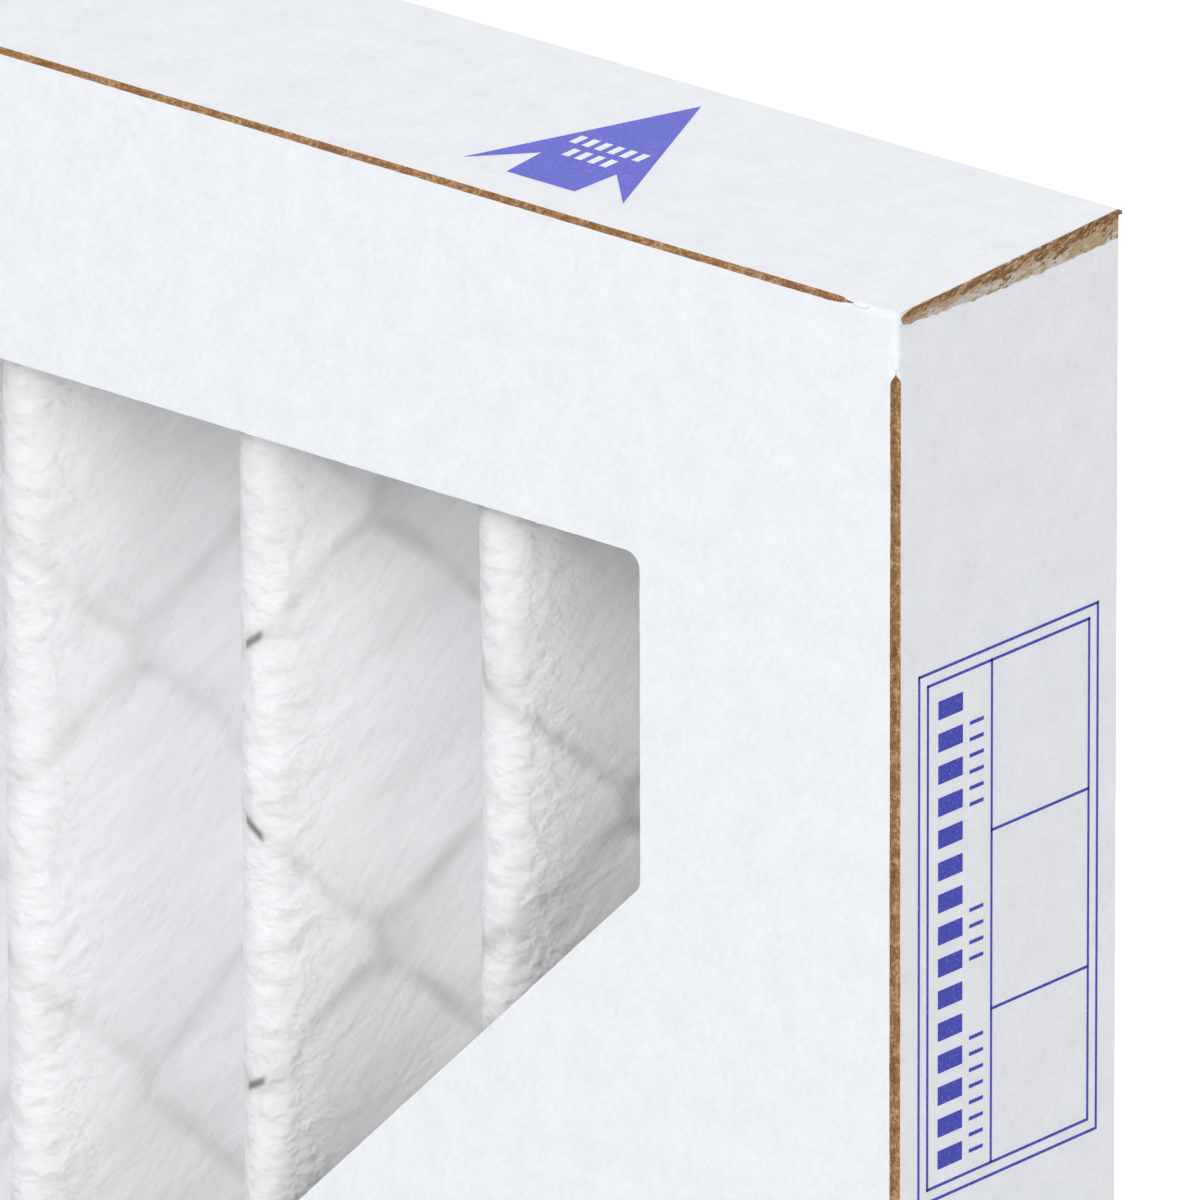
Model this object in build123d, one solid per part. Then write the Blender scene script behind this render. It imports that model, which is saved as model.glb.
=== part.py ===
"""Pleated panel air filter, 20 x 24 x 1 in nominal, for a ventilation filter rack.

The filter stands on its bottom edge. X is its width, Y its depth and Z its height. Air enters at
the front face, which looks along -Y, and leaves at the back face. All sizes are in millimetres.

How it is built:
- outer_tray and inner_tray are two die-cut sheets of coated board. Each has a window face with a
  crossed pair of struts and four flaps folded back from it. The inner tray faces the other way and
  is nested in the outer one, glued flap to flap. Every fold is cut part of the way through from
  the outside, which leaves an open square notch along the edge, and the cut stops short of each
  corner, where the unbroken board stays rounded.
- pleated_media is one sheet of felt folded into deep pleats that run from bottom to top.
- wire_backing is one sheet of expanded steel behind the felt, folded with it.
- glue_bottom, glue_top, glue_left and glue_right are the beads that seal the pleat pack's four
  edges to the inner tray.
"""

import math
import os

from build123d import *

# Outside of the panel: actual size of a 20 x 24 x 1 in nominal filter
PANEL_WIDTH = 495.3
PANEL_HEIGHT = 596.9
PANEL_DEPTH = 19.05

# Board trays
BOARD = 0.7                # board thickness
BORDER = 18.7              # board round the windows, measured from the panel's outside
STRUT_WIDTH = 43.6         # the two crossed struts, at 45 degrees
STRUT_ANGLE = 45.0
WINDOW_RADIUS = 1.0        # corners of the die-cut windows
SCORE_DEPTH = 0.42         # how deep each fold is cut from the outside
SCORE_STOP = 3.0           # unbroken fold left at each corner
CORNER_RADIUS = 0.45       # rounding of the unbroken folds
FLAP_SLIT = 0.1            # die-cut slit between a side flap's end and the flap across it
NEST_GAP = 0.05            # glue film between the outer and the inner flaps
INNER_FLAP_GAP = 1.0       # how far the inner flaps stop short of the outer tray's face
TOP_FLAP_LIFT = 0.9        # the top flaps spring up by this much at the back face

# Pleat pack
PLEAT_PITCH = 18.12        # wanted distance between ridges; the real one divides the width evenly
FIRST_RIDGE = 12.1         # first and last ridge, from the panel's outside
MEDIA = 1.2                # felt thickness
BACKING = 0.5              # expanded steel thickness
FOLD_RADIUS = 1.3          # fold radius, at the middle of the felt
FOLD_FLATS = 8             # flats that round each fold
TIP_GAP = 0.05             # between the pleat tips and the board
TAIL = 9.0                 # ends of the sheet turned forward along the side flaps

# Glue beads
GLUE = 0.5                 # bead thickness

# Places worked out from the sizes above
FRONT = -PANEL_DEPTH / 2
BACK = PANEL_DEPTH / 2
HALF_WIDTH = PANEL_WIDTH / 2
NEST = BOARD + NEST_GAP                     # the inner tray's outside, in from the panel's outside
WALL = NEST + BOARD                         # the inner tray's inside, in from the panel's outside
INNER_RIM = FRONT + BOARD + INNER_FLAP_GAP  # free edges of the inner flaps
PACK_FRONT = FRONT + BOARD + TIP_GAP
PACK_BACK = BACK - BOARD - TIP_GAP
PACK_SIDE = HALF_WIDTH - WALL - GLUE
PACK_BOTTOM = WALL + GLUE
PACK_TOP = PANEL_HEIGHT - WALL - GLUE


def top_surface(y, inset):
    """Height at depth y of the sprung top flaps' surface, inset below the panel's outside."""
    return PANEL_HEIGHT - inset + TOP_FLAP_LIFT * (y - FRONT) / PANEL_DEPTH


def prism_along_x(outline, half_length):
    """Extrude a closed (y, z) outline to both sides of the middle plane."""
    points = [Vector(0, y, z) for y, z in outline]
    face = Face(Wire.make_polygon(points, close=True))
    return extrude(face, amount=half_length, dir=(1, 0, 0), both=True)


def box_between(x_range, y_range, z_range):
    """Box from its lowest and highest coordinates."""
    size = [high - low for low, high in (x_range, y_range, z_range)]
    middle = [(high + low) / 2 for low, high in (x_range, y_range, z_range)]
    return Pos(*middle) * Box(*size)


def windows(y_middle):
    """Cutter for the windows that the border and the crossed struts leave open."""
    opening = Rectangle(PANEL_WIDTH - 2 * BORDER, PANEL_HEIGHT - 2 * BORDER)
    strut_length = PANEL_WIDTH + PANEL_HEIGHT
    for turn in (STRUT_ANGLE, -STRUT_ANGLE):
        opening -= Rot(0, 0, turn) * Rectangle(strut_length, STRUT_WIDTH)
    opening = fillet(opening.vertices(), WINDOW_RADIUS)
    middle = Plane(origin=(0, y_middle, PANEL_HEIGHT / 2), x_dir=(1, 0, 0), z_dir=(0, -1, 0))
    return extrude(middle * opening, amount=2 * BOARD, both=True)


def tray(inset, face_at, rim_at):
    """One folded board tray. Its outside is inset into the panel, and its flaps run from the
    outside of its face, at depth face_at, to their free edges, at depth rim_at."""
    inward = 1 if rim_at > face_at else -1
    face_inside = face_at + inward * BOARD
    half = HALF_WIDTH - inset
    bottom = inset
    top_at_face = top_surface(face_at, inset)
    top_at_rim = top_surface(rim_at, inset)
    side_top = min(top_at_face, top_at_rim) - BOARD - FLAP_SLIT

    # Face with the top and bottom flaps, as one folded section
    body = prism_along_x([
        (face_at, bottom), (rim_at, bottom), (rim_at, bottom + BOARD), (face_inside, bottom + BOARD),
        (face_inside, top_surface(face_inside, inset + BOARD)), (rim_at, top_at_rim - BOARD),
        (rim_at, top_at_rim), (face_at, top_at_face)], half)
    y_range = sorted((face_at, rim_at))
    z_range = (bottom + BOARD + FLAP_SLIT, side_top)
    for side in (-1, 1):
        x_range = sorted((side * half, side * (half - BOARD)))
        body += box_between(x_range, y_range, z_range)

    # Rounded folds at the corners, where the board is unbroken
    envelope = prism_along_x(
        [(face_at, bottom), (rim_at, bottom), (rim_at, top_at_rim), (face_at, top_at_face)], half)
    face_edges = envelope.edges().filter_by_position(Axis.Y, face_at - 0.01, face_at + 0.01)
    body &= fillet(face_edges, CORNER_RADIUS)

    # Open notches where the folds are cut from the outside
    notch_depth = sorted((face_at - inward, face_at + inward * SCORE_DEPTH))
    along_x = (-half + SCORE_STOP, half - SCORE_STOP)
    along_z = (bottom + SCORE_STOP, top_at_face - SCORE_STOP)
    body -= box_between(along_x, notch_depth, (bottom - 1, bottom + SCORE_DEPTH))
    body -= box_between(along_x, notch_depth, (top_at_face - SCORE_DEPTH, top_at_face + 1))
    for side in (-1, 1):
        x_range = sorted((side * (half - SCORE_DEPTH), side * (half + 1)))
        body -= box_between(x_range, notch_depth, along_z)
    return body - windows((face_at + face_inside) / 2)


def fold_centres():
    """Centres of the fold arcs across the width, as (x, y, side), valleys first and last.
    The side is -1 for a ridge, whose arc bulges to the front, and 1 for a valley."""
    ridge_y = PACK_FRONT + MEDIA / 2 + FOLD_RADIUS
    valley_y = PACK_BACK - BACKING - MEDIA / 2 - FOLD_RADIUS
    end_x = PACK_SIDE - BACKING - MEDIA / 2 - FOLD_RADIUS
    span = PANEL_WIDTH - 2 * FIRST_RIDGE
    gaps = max(1, round(span / PLEAT_PITCH))
    pitch = span / gaps
    centres = [(-end_x, valley_y, 1)]
    for number in range(gaps + 1):
        x = -span / 2 + number * pitch
        centres.append((x, ridge_y, -1))
        if number < gaps:
            centres.append((x + pitch / 2, valley_y, 1))
    centres.append((end_x, valley_y, 1))
    return centres


def flank_lean(start, end):
    """Angle between the depth and the flank that joins two neighbouring folds. The flank touches
    both fold circles, which have the same radius, and crosses between their centres."""
    across = abs(end[0] - start[0])
    deep = abs(end[1] - start[1])
    return math.atan2(across, deep) - math.asin(2 * FOLD_RADIUS / math.hypot(across, deep))


def folded_line(offset):
    """Points of the pleated line that lies offset in front of the felt's middle. Each fold is a
    row of flats that touch its circle, so lines with other offsets stay parallel to this one."""
    centres = fold_centres()
    tail_x = centres[-1][0] + FOLD_RADIUS - offset
    tail_y = centres[-1][1] - TAIL
    leans = [flank_lean(start, end) for start, end in zip(centres, centres[1:])]
    points = [(-tail_x, tail_y)]
    for (x, y, side), lean_before, lean_after in zip(centres, [0] + leans, leans + [0]):
        first = lean_before - math.pi / 2
        turn = (math.pi / 2 - lean_after - first) / FOLD_FLATS
        corner_radius = (FOLD_RADIUS - side * offset) / math.cos(turn / 2)
        for flat in range(FOLD_FLATS):
            angle = first + (flat + 0.5) * turn
            points.append((x + corner_radius * math.sin(angle),
                           y + side * corner_radius * math.cos(angle)))
    points.append((tail_x, tail_y))
    return points


def folded_sheet(front_offset, back_offset):
    """Sheet between two pleated lines, as tall as the pleat pack."""
    outline = folded_line(front_offset) + folded_line(back_offset)[::-1]
    section = Face(Wire.make_polygon([Vector(x, y, PACK_BOTTOM) for x, y in outline], close=True))
    return extrude(section, amount=PACK_TOP - PACK_BOTTOM, dir=(0, 0, 1))


def pleated_media():
    """The felt."""
    return folded_sheet(MEDIA / 2, -MEDIA / 2)


def wire_backing():
    """The expanded steel, whose outline follows the felt's back."""
    return folded_sheet(-MEDIA / 2, -MEDIA / 2 - BACKING)


def glue_bottom():
    """Bead under the pleat pack."""
    return box_between((WALL - HALF_WIDTH, HALF_WIDTH - WALL), (INNER_RIM, PACK_BACK),
                       (WALL, PACK_BOTTOM))


def glue_top():
    """Bead over the pleat pack, which fills the wedge under the sprung flap."""
    return prism_along_x([
        (INNER_RIM, PACK_TOP), (PACK_BACK, PACK_TOP), (PACK_BACK, top_surface(PACK_BACK, WALL)),
        (INNER_RIM, top_surface(INNER_RIM, WALL))], HALF_WIDTH - WALL)


def glue_side(side):
    """Bead between a side flap and the end of the folded sheet."""
    x_range = sorted((side * PACK_SIDE, side * (PACK_SIDE + GLUE)))
    return box_between(x_range, (INNER_RIM, PACK_BACK), (PACK_BOTTOM, PACK_TOP))


PARTS = {
    "outer_tray": tray(0, FRONT, BACK),
    "inner_tray": tray(NEST, BACK, INNER_RIM),
    "pleated_media": pleated_media(),
    "wire_backing": wire_backing(),
    "glue_bottom": glue_bottom(),
    "glue_top": glue_top(),
    "glue_left": glue_side(-1),
    "glue_right": glue_side(1),
}

os.makedirs("parts", exist_ok=True)
for name, solid in PARTS.items():
    export_step(solid, f"parts/{name}.step")
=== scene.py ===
"""Looks of a pleated panel air filter: coated board trays, folded felt, expanded steel and print.

The file is laid out as an add-on. Each operator makes one piece, or one group of like pieces, in
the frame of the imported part: X across the filter, Y from the front face to the back, Z up.
"""

import math
from functools import partial

import bmesh
import bpy
import numpy as np
from bpy.props import FloatProperty, FloatVectorProperty, PointerProperty
from mathutils import Matrix, Vector, noise


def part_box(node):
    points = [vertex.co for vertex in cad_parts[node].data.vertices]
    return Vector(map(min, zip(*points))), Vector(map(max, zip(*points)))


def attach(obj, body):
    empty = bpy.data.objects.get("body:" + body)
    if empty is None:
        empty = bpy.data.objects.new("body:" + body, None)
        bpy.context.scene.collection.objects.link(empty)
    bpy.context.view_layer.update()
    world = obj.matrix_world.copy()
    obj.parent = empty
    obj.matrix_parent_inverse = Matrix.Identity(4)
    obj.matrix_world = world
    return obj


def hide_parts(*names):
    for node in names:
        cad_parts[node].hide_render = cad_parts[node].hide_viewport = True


bl_info = {
    "name": "Pleated panel air filter",
    "version": (1, 0, 0),
    "blender": (4, 5, 0),
    "location": "3D View > Sidebar > Air filter",
    "description": "Dresses a pleated panel air filter: board, felt, steel and print",
    "category": "Object",
}

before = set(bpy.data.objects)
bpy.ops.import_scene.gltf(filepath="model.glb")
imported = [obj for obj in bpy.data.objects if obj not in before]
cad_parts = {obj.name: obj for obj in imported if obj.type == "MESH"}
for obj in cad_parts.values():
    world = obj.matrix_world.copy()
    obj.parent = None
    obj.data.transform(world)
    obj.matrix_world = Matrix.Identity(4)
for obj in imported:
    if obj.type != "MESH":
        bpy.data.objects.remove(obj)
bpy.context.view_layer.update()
MM = 0.001

# Places of the frame, in metres
OUTER_LOW, OUTER_HIGH = (Vector(corner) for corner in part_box("outer_tray"))
FRONT, BACK = OUTER_LOW.y, OUTER_HIGH.y
HALF_WIDTH = OUTER_HIGH.x
LIFT = 0.9 * MM                     # the top flaps spring up by this much at the back
TOP = OUTER_HIGH.z - LIFT           # height of the panel where the top flap is folded
BOARD = 0.7 * MM
NEST = 0.75 * MM                    # the inner tray's outside, in from the panel's outside
INNER_RIM = FRONT + 1.7 * MM        # free edges of the inner flaps
FELT_LOW, FELT_HIGH = (Vector(corner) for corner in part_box("pleated_media"))
FELT = 1.2 * MM                     # felt thickness
STEEL = 0.5 * MM                    # expanded steel thickness
FOLD_RADIUS = 1.3 * MM              # at the middle of the felt
FIRST_RIDGE = 12.1 * MM             # first and last ridge, in from the panel's outside
PLEAT_PITCH = 18.12 * MM
KEY_RIDGE = HALF_WIDTH - FIRST_RIDGE - 2 * PLEAT_PITCH      # the knuckles are counted from here
FINE_STATIONS = 8                   # stations where a score tapers
TAIL = 9.0 * MM                     # ends of the felt turned forward along the side flaps


# ---------------------------------------------------------------- settings

def length(name, about, default):
    """A length in metres, given in millimetres."""
    return FloatProperty(name=name, description=about, default=default * MM, min=0.0, precision=5,
                         subtype="DISTANCE", unit="LENGTH")


def colour(name, about, red, green, blue):
    """A colour, given as screen values from 0 to 255."""
    return FloatVectorProperty(name=name, description=about, size=3, min=0.0, max=1.0,
                               default=[linear(value) for value in (red, green, blue)],
                               subtype="COLOR")


def power(name, about, default):
    """Power of a lamp in watts."""
    return FloatProperty(name=name, description=about, default=default, min=0.0, unit="POWER")


def linear(value):
    """A screen value from 0 to 255 as linear light."""
    value /= 255
    return value / 12.92 if value <= 0.04045 else ((value + 0.055) / 1.055) ** 2.4


class BoardSettings(bpy.types.PropertyGroup):
    """Sizes and colours of the folded board."""
    border: length("Border", "Board round the windows", 18.7)
    strut: length("Strut width", "Width of the crossed struts", 43.6)
    window_radius: length("Window radius", "Rounding of the windows' corners", 1.0)
    score: length("Score depth", "How deep a fold is cut from the outside", 0.42)
    score_closed: FloatProperty(name="Closed score", default=0.72, min=0.1, max=1.0,
                                description="Depth left of the score of a sprung flap",
                                subtype="FACTOR")
    score_stop: length("Score stop", "Unbroken fold at each corner", 2.7)
    score_taper: length("Score taper", "Length over which the cut reaches its depth", 2.2)
    fold_radius: length("Fold radius", "Rounding of the unbroken folds", 0.45)
    raggedness: length("Raggedness", "How far cut edges wander", 0.028)
    coat: colour("Coat", "White coating of the outside", 243, 244, 247)
    core: colour("Core", "Cut edge of the board", 156, 116, 76)
    core_light: colour("Core fibres", "Pale fibres of the cut edge", 216, 188, 150)
    core_dark: colour("Core shade", "Dark gaps of the cut edge", 82, 54, 32)
    kraft: colour("Back", "Uncoated back of the board", 172, 152, 124)
    lining: colour("Lining", "Greyish layers of torn board", 220, 216, 208)


class FeltSettings(bpy.types.PropertyGroup):
    """Felt of the pleats."""
    sway: length("Sway", "How far the ridges wander sideways", 0.30)
    hollow: length("Hollow", "How far the flanks sag", 0.35)
    fibre: length("Fibre", "Length of the loose fibres on the ridges", 1.3)
    fibre_width: length("Fibre width", "Width of a loose fibre at its root", 0.075)
    fibres: FloatProperty(name="Fibres", description="Loose fibres on a square millimetre",
                          default=0.15, min=0.0)
    felt: colour("Felt", "Felt between the steel strands", 238, 238, 239)
    # Strand shade is painted shade: the shadow of the steel strands seen through the felt
    strand: colour("Strand shade", "Felt over a steel strand", 168, 167, 166)
    rub: colour("Rub", "Felt where a strand presses at a ridge", 128, 122, 114)


class SteelSettings(bpy.types.PropertyGroup):
    """Expanded steel behind the felt."""
    across: length("Half pitch across", "Distance between columns of knuckles, unfolded", 12.57)
    along: length("Half pitch along", "Half the distance between knuckles in a column", 13.4)
    knuckle: length("Knuckle", "Length of a knuckle", 2.2)
    strand: length("Strand", "Width of a strand", 0.8)
    thickness: length("Thickness", "Thickness of the steel", 0.42)
    first: length("First column", "First knuckle after a ridge, along the felt", 6.3)
    drop: length("Drop", "First knuckle below the top, on every second pleat", 23.75)
    zinc: colour("Zinc", "Galvanised steel", 168, 171, 174)


class PrintSettings(bpy.types.PropertyGroup):
    """Print on the outer tray."""
    arrow: colour("Arrow ink", "Ink of the arrow", 78, 84, 204)
    label: colour("Form ink", "Ink of the date form", 56, 66, 178)
    film: length("Ink film", "Height of the ink over the board", 0.02)


class StudioSettings(bpy.types.PropertyGroup):
    """Light and floor."""
    key: power("Key", "Power of the high lamp at the front", 8.6)
    front: power("Front", "Power of the low lamp at the front", 4.3)
    fill: power("Fill", "Power of the lamp at the right", 10.8)
    rear: power("Rear", "Power of the lamp behind", 13.0)
    world: FloatProperty(name="World", description="Level of light from all round",
                         default=0.48, min=0.0)
    floor: colour("Floor", "Pale floor", 236, 236, 236)


class FilterSettings(bpy.types.PropertyGroup):
    """All settings of the filter."""
    board: PointerProperty(type=BoardSettings)
    felt: PointerProperty(type=FeltSettings)
    steel: PointerProperty(type=SteelSettings)
    prints: PointerProperty(type=PrintSettings)
    studio: PointerProperty(type=StudioSettings)


# ---------------------------------------------------------------- node helpers

def add_node(tree, kind, inputs=None, **values):
    """Add a node. Its inputs are values, sockets, or nodes that give their first output."""
    node = tree.nodes.new(kind)
    for name, value in values.items():
        setattr(node, name, value)
    for name, value in (inputs or {}).items():
        socket = node.inputs[name]
        if isinstance(value, bpy.types.Node):
            value = value.outputs[0]
        if isinstance(value, bpy.types.NodeSocket):
            tree.links.new(value, socket)
        else:
            socket.default_value = value
    return node


def maths(tree, operation, *values):
    """Result socket of a Math node."""
    return add_node(tree, "ShaderNodeMath", dict(enumerate(values)), operation=operation).outputs[0]


def weighted(tree, *terms):
    """Result socket of a sum of values, each given with its weight."""
    value, weight = terms[0]
    first = maths(tree, "MULTIPLY", value, weight)
    return maths(tree, "ADD", first, weighted(tree, *terms[1:])) if terms[1:] else first


def smooth_step(tree, value, low, high, out_low=0.0, out_high=1.0):
    """Result socket of a smooth change from out_low to out_high."""
    return add_node(tree, "ShaderNodeMapRange", {
        "Value": value, "From Min": low, "From Max": high, "To Min": out_low, "To Max": out_high},
        interpolation_type="SMOOTHSTEP").outputs["Result"]


def blend_colours(tree, factor, first, second):
    """Colour socket of two colours mixed by a factor."""
    return add_node(tree, "ShaderNodeMix", {0: factor, 6: first, 7: second},
                    data_type="RGBA").outputs[2]


def noise_value(tree, vector, scale, detail=2.0, roughness=0.5, distortion=0.0):
    """Value socket of a noise over a vector."""
    return add_node(tree, "ShaderNodeTexNoise", {
        "Vector": vector, "Scale": scale, "Detail": detail, "Roughness": roughness,
        "Distortion": distortion}).outputs["Fac"]


def stretched(tree, vector, reach, turn=(0.0, 0.0, 0.0)):
    """Vector socket along whose turned axes a pattern reaches this many times as far."""
    return add_node(tree, "ShaderNodeMapping", {
        "Vector": vector, "Rotation": turn, "Scale": reach},
        vector_type="TEXTURE").outputs["Vector"]


def object_place(tree):
    """Vector socket of the place on the object."""
    return tree.nodes.new("ShaderNodeTexCoord").outputs["Object"]


def uv_place(tree, name):
    """Vector socket of the place in a UV map."""
    return add_node(tree, "ShaderNodeUVMap", uv_map=name).outputs["UV"]


def parts_of(tree, vector):
    """Sockets X, Y and Z of a vector."""
    return add_node(tree, "ShaderNodeSeparateXYZ", {0: vector}).outputs


def new_group(name, family, inputs, outputs):
    """Node group with labelled sockets: its tree, its inputs and its outputs."""
    tree = bpy.data.node_groups.new(name, family)
    for side, sockets in (("INPUT", inputs), ("OUTPUT", outputs)):
        for label, kind in sockets.items():
            tree.interface.new_socket(label, in_out=side, socket_type="NodeSocket" + kind)
    start, end = tree.nodes.new("NodeGroupInput"), tree.nodes.new("NodeGroupOutput")
    return tree, start.outputs, end.inputs


def paper_mottle_group():
    """Cloudy mottle and fine grain of board and paper."""
    if "paper mottle" in bpy.data.node_groups:
        return bpy.data.node_groups["paper mottle"]
    tree, start, end = new_group("paper mottle", "ShaderNodeTree",
                                 {"Vector": "Vector", "Amount": "Float"},
                                 {"Shade": "Float", "Height": "Float"})
    vector = start["Vector"]
    cloud = noise_value(tree, vector, 420.0)
    grain = noise_value(tree, vector, 2600.0, detail=1.0)
    fibre = noise_value(tree, stretched(tree, vector, (1.0, 1.0, 4.0), (0.0, 0.6, 0.0)), 3800.0,
                        detail=1.0)
    total = weighted(tree, (cloud, 0.45), (grain, 0.35), (fibre, 0.20))
    shade = maths(tree, "MULTIPLY", maths(tree, "SUBTRACT", total, 0.5), start["Amount"])
    tree.links.new(maths(tree, "ADD", shade, 0.5), end["Shade"])
    tree.links.new(grain, end["Height"])
    return tree


def torn_fibre_group():
    """Layers and fibres of cut or torn board, along its length."""
    if "torn fibre" in bpy.data.node_groups:
        return bpy.data.node_groups["torn fibre"]
    tree, start, end = new_group("torn fibre", "ShaderNodeTree",
                                 {"Vector": "Vector", "Scale": "Float"},
                                 {"Pale": "Float", "Dark": "Float", "Height": "Float"})
    vector, scale = start["Vector"], start["Scale"]
    fine = noise_value(tree, vector, scale, detail=4.0, roughness=0.7, distortion=0.6)
    broad = noise_value(tree, vector, maths(tree, "MULTIPLY", scale, 0.23))
    for label, share, low, high in (("Pale", 0.5, 0.77, 0.85), ("Dark", 0.4, 0.64, 0.56)):
        total = maths(tree, "ADD", fine, maths(tree, "MULTIPLY", broad, share))
        tree.links.new(smooth_step(tree, total, low, high), end[label])
    tree.links.new(fine, end["Height"])
    return tree


def place_group(tree, group, inputs):
    """Sockets of a shader group put into a material."""
    return add_node(tree, "ShaderNodeGroup", inputs, node_tree=group).outputs


def new_material(name, roughness, specular, metallic=0.0):
    """Material with an empty Principled shader, its tree and shader."""
    material = bpy.data.materials.new(name)
    material.use_nodes = True
    tree = material.node_tree
    shader = tree.nodes["Principled BSDF"]
    shader.inputs["Roughness"].default_value = roughness
    shader.inputs["Specular IOR Level"].default_value = specular
    shader.inputs["Metallic"].default_value = metallic
    return material, tree, shader


def rgba(value):
    """Colour with full alpha."""
    return (*value, 1.0)


def shaded(value, factor):
    """Colour made lighter or darker."""
    return (*[min(1.0, channel * factor) for channel in value], 1.0)


def dress(tree, shader, colours, height=None, strength=1.0, distance=0.0):
    """Give a shader its colours and, with a height, its fine relief."""
    tree.links.new(colours, shader.inputs["Base Color"])
    if height is not None:
        bump = add_node(tree, "ShaderNodeBump", {
            "Height": height, "Strength": strength, "Distance": distance})
        tree.links.new(bump.outputs["Normal"], shader.inputs["Normal"])


# ---------------------------------------------------------------- materials

def paper(name, colour, dark, light, roughness, specular, amount, relief):
    """Mottled board or paper between a darker and a lighter shade of its colour."""
    material, tree, shader = new_material(name, roughness, specular)
    mottle = place_group(tree, paper_mottle_group(), {
        "Vector": object_place(tree), "Amount": amount})
    colours = blend_colours(tree, mottle["Shade"], shaded(colour, dark), shaded(colour, light))
    dress(tree, shader, colours, mottle["Height"], 0.4, relief)
    return material


def coated_board(settings):
    """White coated outside of the board."""
    return paper("coated board", settings.coat, 0.955, 1.035, roughness=0.55, specular=0.35,
                 amount=3.4, relief=0.025 * MM)


def cut_board(settings):
    """Brown cut edge of the board."""
    material, tree, shader = new_material("cut board", 0.85, 0.15)
    fibres = place_group(tree, torn_fibre_group(), {
        "Vector": object_place(tree), "Scale": 5200.0})
    colours = blend_colours(tree, maths(tree, "MULTIPLY", fibres["Pale"], 0.7),
                            shaded(settings.core, 1.12), rgba(settings.core_light))
    colours = blend_colours(tree, maths(tree, "MULTIPLY", fibres["Dark"], 0.55), colours,
                            rgba(settings.core_dark))
    dress(tree, shader, colours, fibres["Height"], 0.5, 0.1 * MM)
    return material


def kraft_back(settings):
    """Uncoated back of the board."""
    return paper("board back", settings.kraft, 0.85, 1.12, roughness=0.9, specular=0.15,
                 amount=3.0, relief=0.03 * MM)


def torn_board(settings):
    """Torn layers of board: brown above, tan and greyish white below."""
    material, tree, shader = new_material("torn board", 0.9, 0.12)
    spread = uv_place(tree, "spread")
    level = parts_of(tree, spread)["Y"]
    streaks = stretched(tree, spread, (3.2, 0.75, 1.0), (0.0, 0.0, 0.20))
    fibres = place_group(tree, torn_fibre_group(), {"Vector": streaks, "Scale": 7.5})
    patches = noise_value(tree, stretched(tree, spread, (1.8, 0.6, 1.0)), 1.1,
                          detail=3.0, roughness=0.6, distortion=0.8)
    lower = smooth_step(tree, maths(tree, "ADD", level, maths(tree, "MULTIPLY", patches, 2.0)),
                        1.48, 1.36)
    brown = blend_colours(tree, fibres["Pale"], rgba(settings.core), rgba(settings.core_light))
    brown = blend_colours(tree, maths(tree, "MULTIPLY", fibres["Dark"], 0.7), brown,
                          rgba(settings.core_dark))
    pale = blend_colours(tree, smooth_step(tree, patches, 0.42, 0.60),
                         shaded(settings.core_light, 0.82), rgba(settings.lining))
    pale = blend_colours(tree, maths(tree, "MULTIPLY", fibres["Dark"], 0.95), pale,
                         rgba(settings.core))
    dress(tree, shader, blend_colours(tree, lower, brown, pale), fibres["Height"], 0.9, 0.12 * MM)
    return material


def steel_distances(tree, unfolded, steel):
    """Distances over the unfolded felt to the nearest steel and to the nearest knuckle."""
    calc = partial(maths, tree)
    parts = parts_of(tree, unfolded)
    across = calc("PINGPONG", calc("DIVIDE", parts["X"], steel.across), 1.0)
    up = calc("PINGPONG", calc("DIVIDE", parts["Y"], steel.along), 1.0)
    bond = steel.knuckle / 2 / steel.along
    climb = weighted(tree, (smooth_step(tree, across, 0.0, 1.0), 0.5), (across, 0.5))
    climb = calc("MULTIPLY_ADD", climb, 1 - 2 * bond, bond)
    slant = steel.along * math.cos(math.atan2(steel.along, steel.across))
    to_strand = calc("MULTIPLY", calc("ABSOLUTE", calc("SUBTRACT", up, climb)), slant)

    def to_knuckle(beside, above):
        return calc("MAXIMUM", calc("MULTIPLY", beside, steel.across),
                    calc("MULTIPLY", calc("SUBTRACT", above, bond), steel.along))

    to_bond = calc("MINIMUM", to_knuckle(across, up), to_knuckle(
        calc("SUBTRACT", 1.0, across), calc("SUBTRACT", 1.0, up)))
    return calc("MINIMUM", to_strand, to_bond), to_bond


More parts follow.
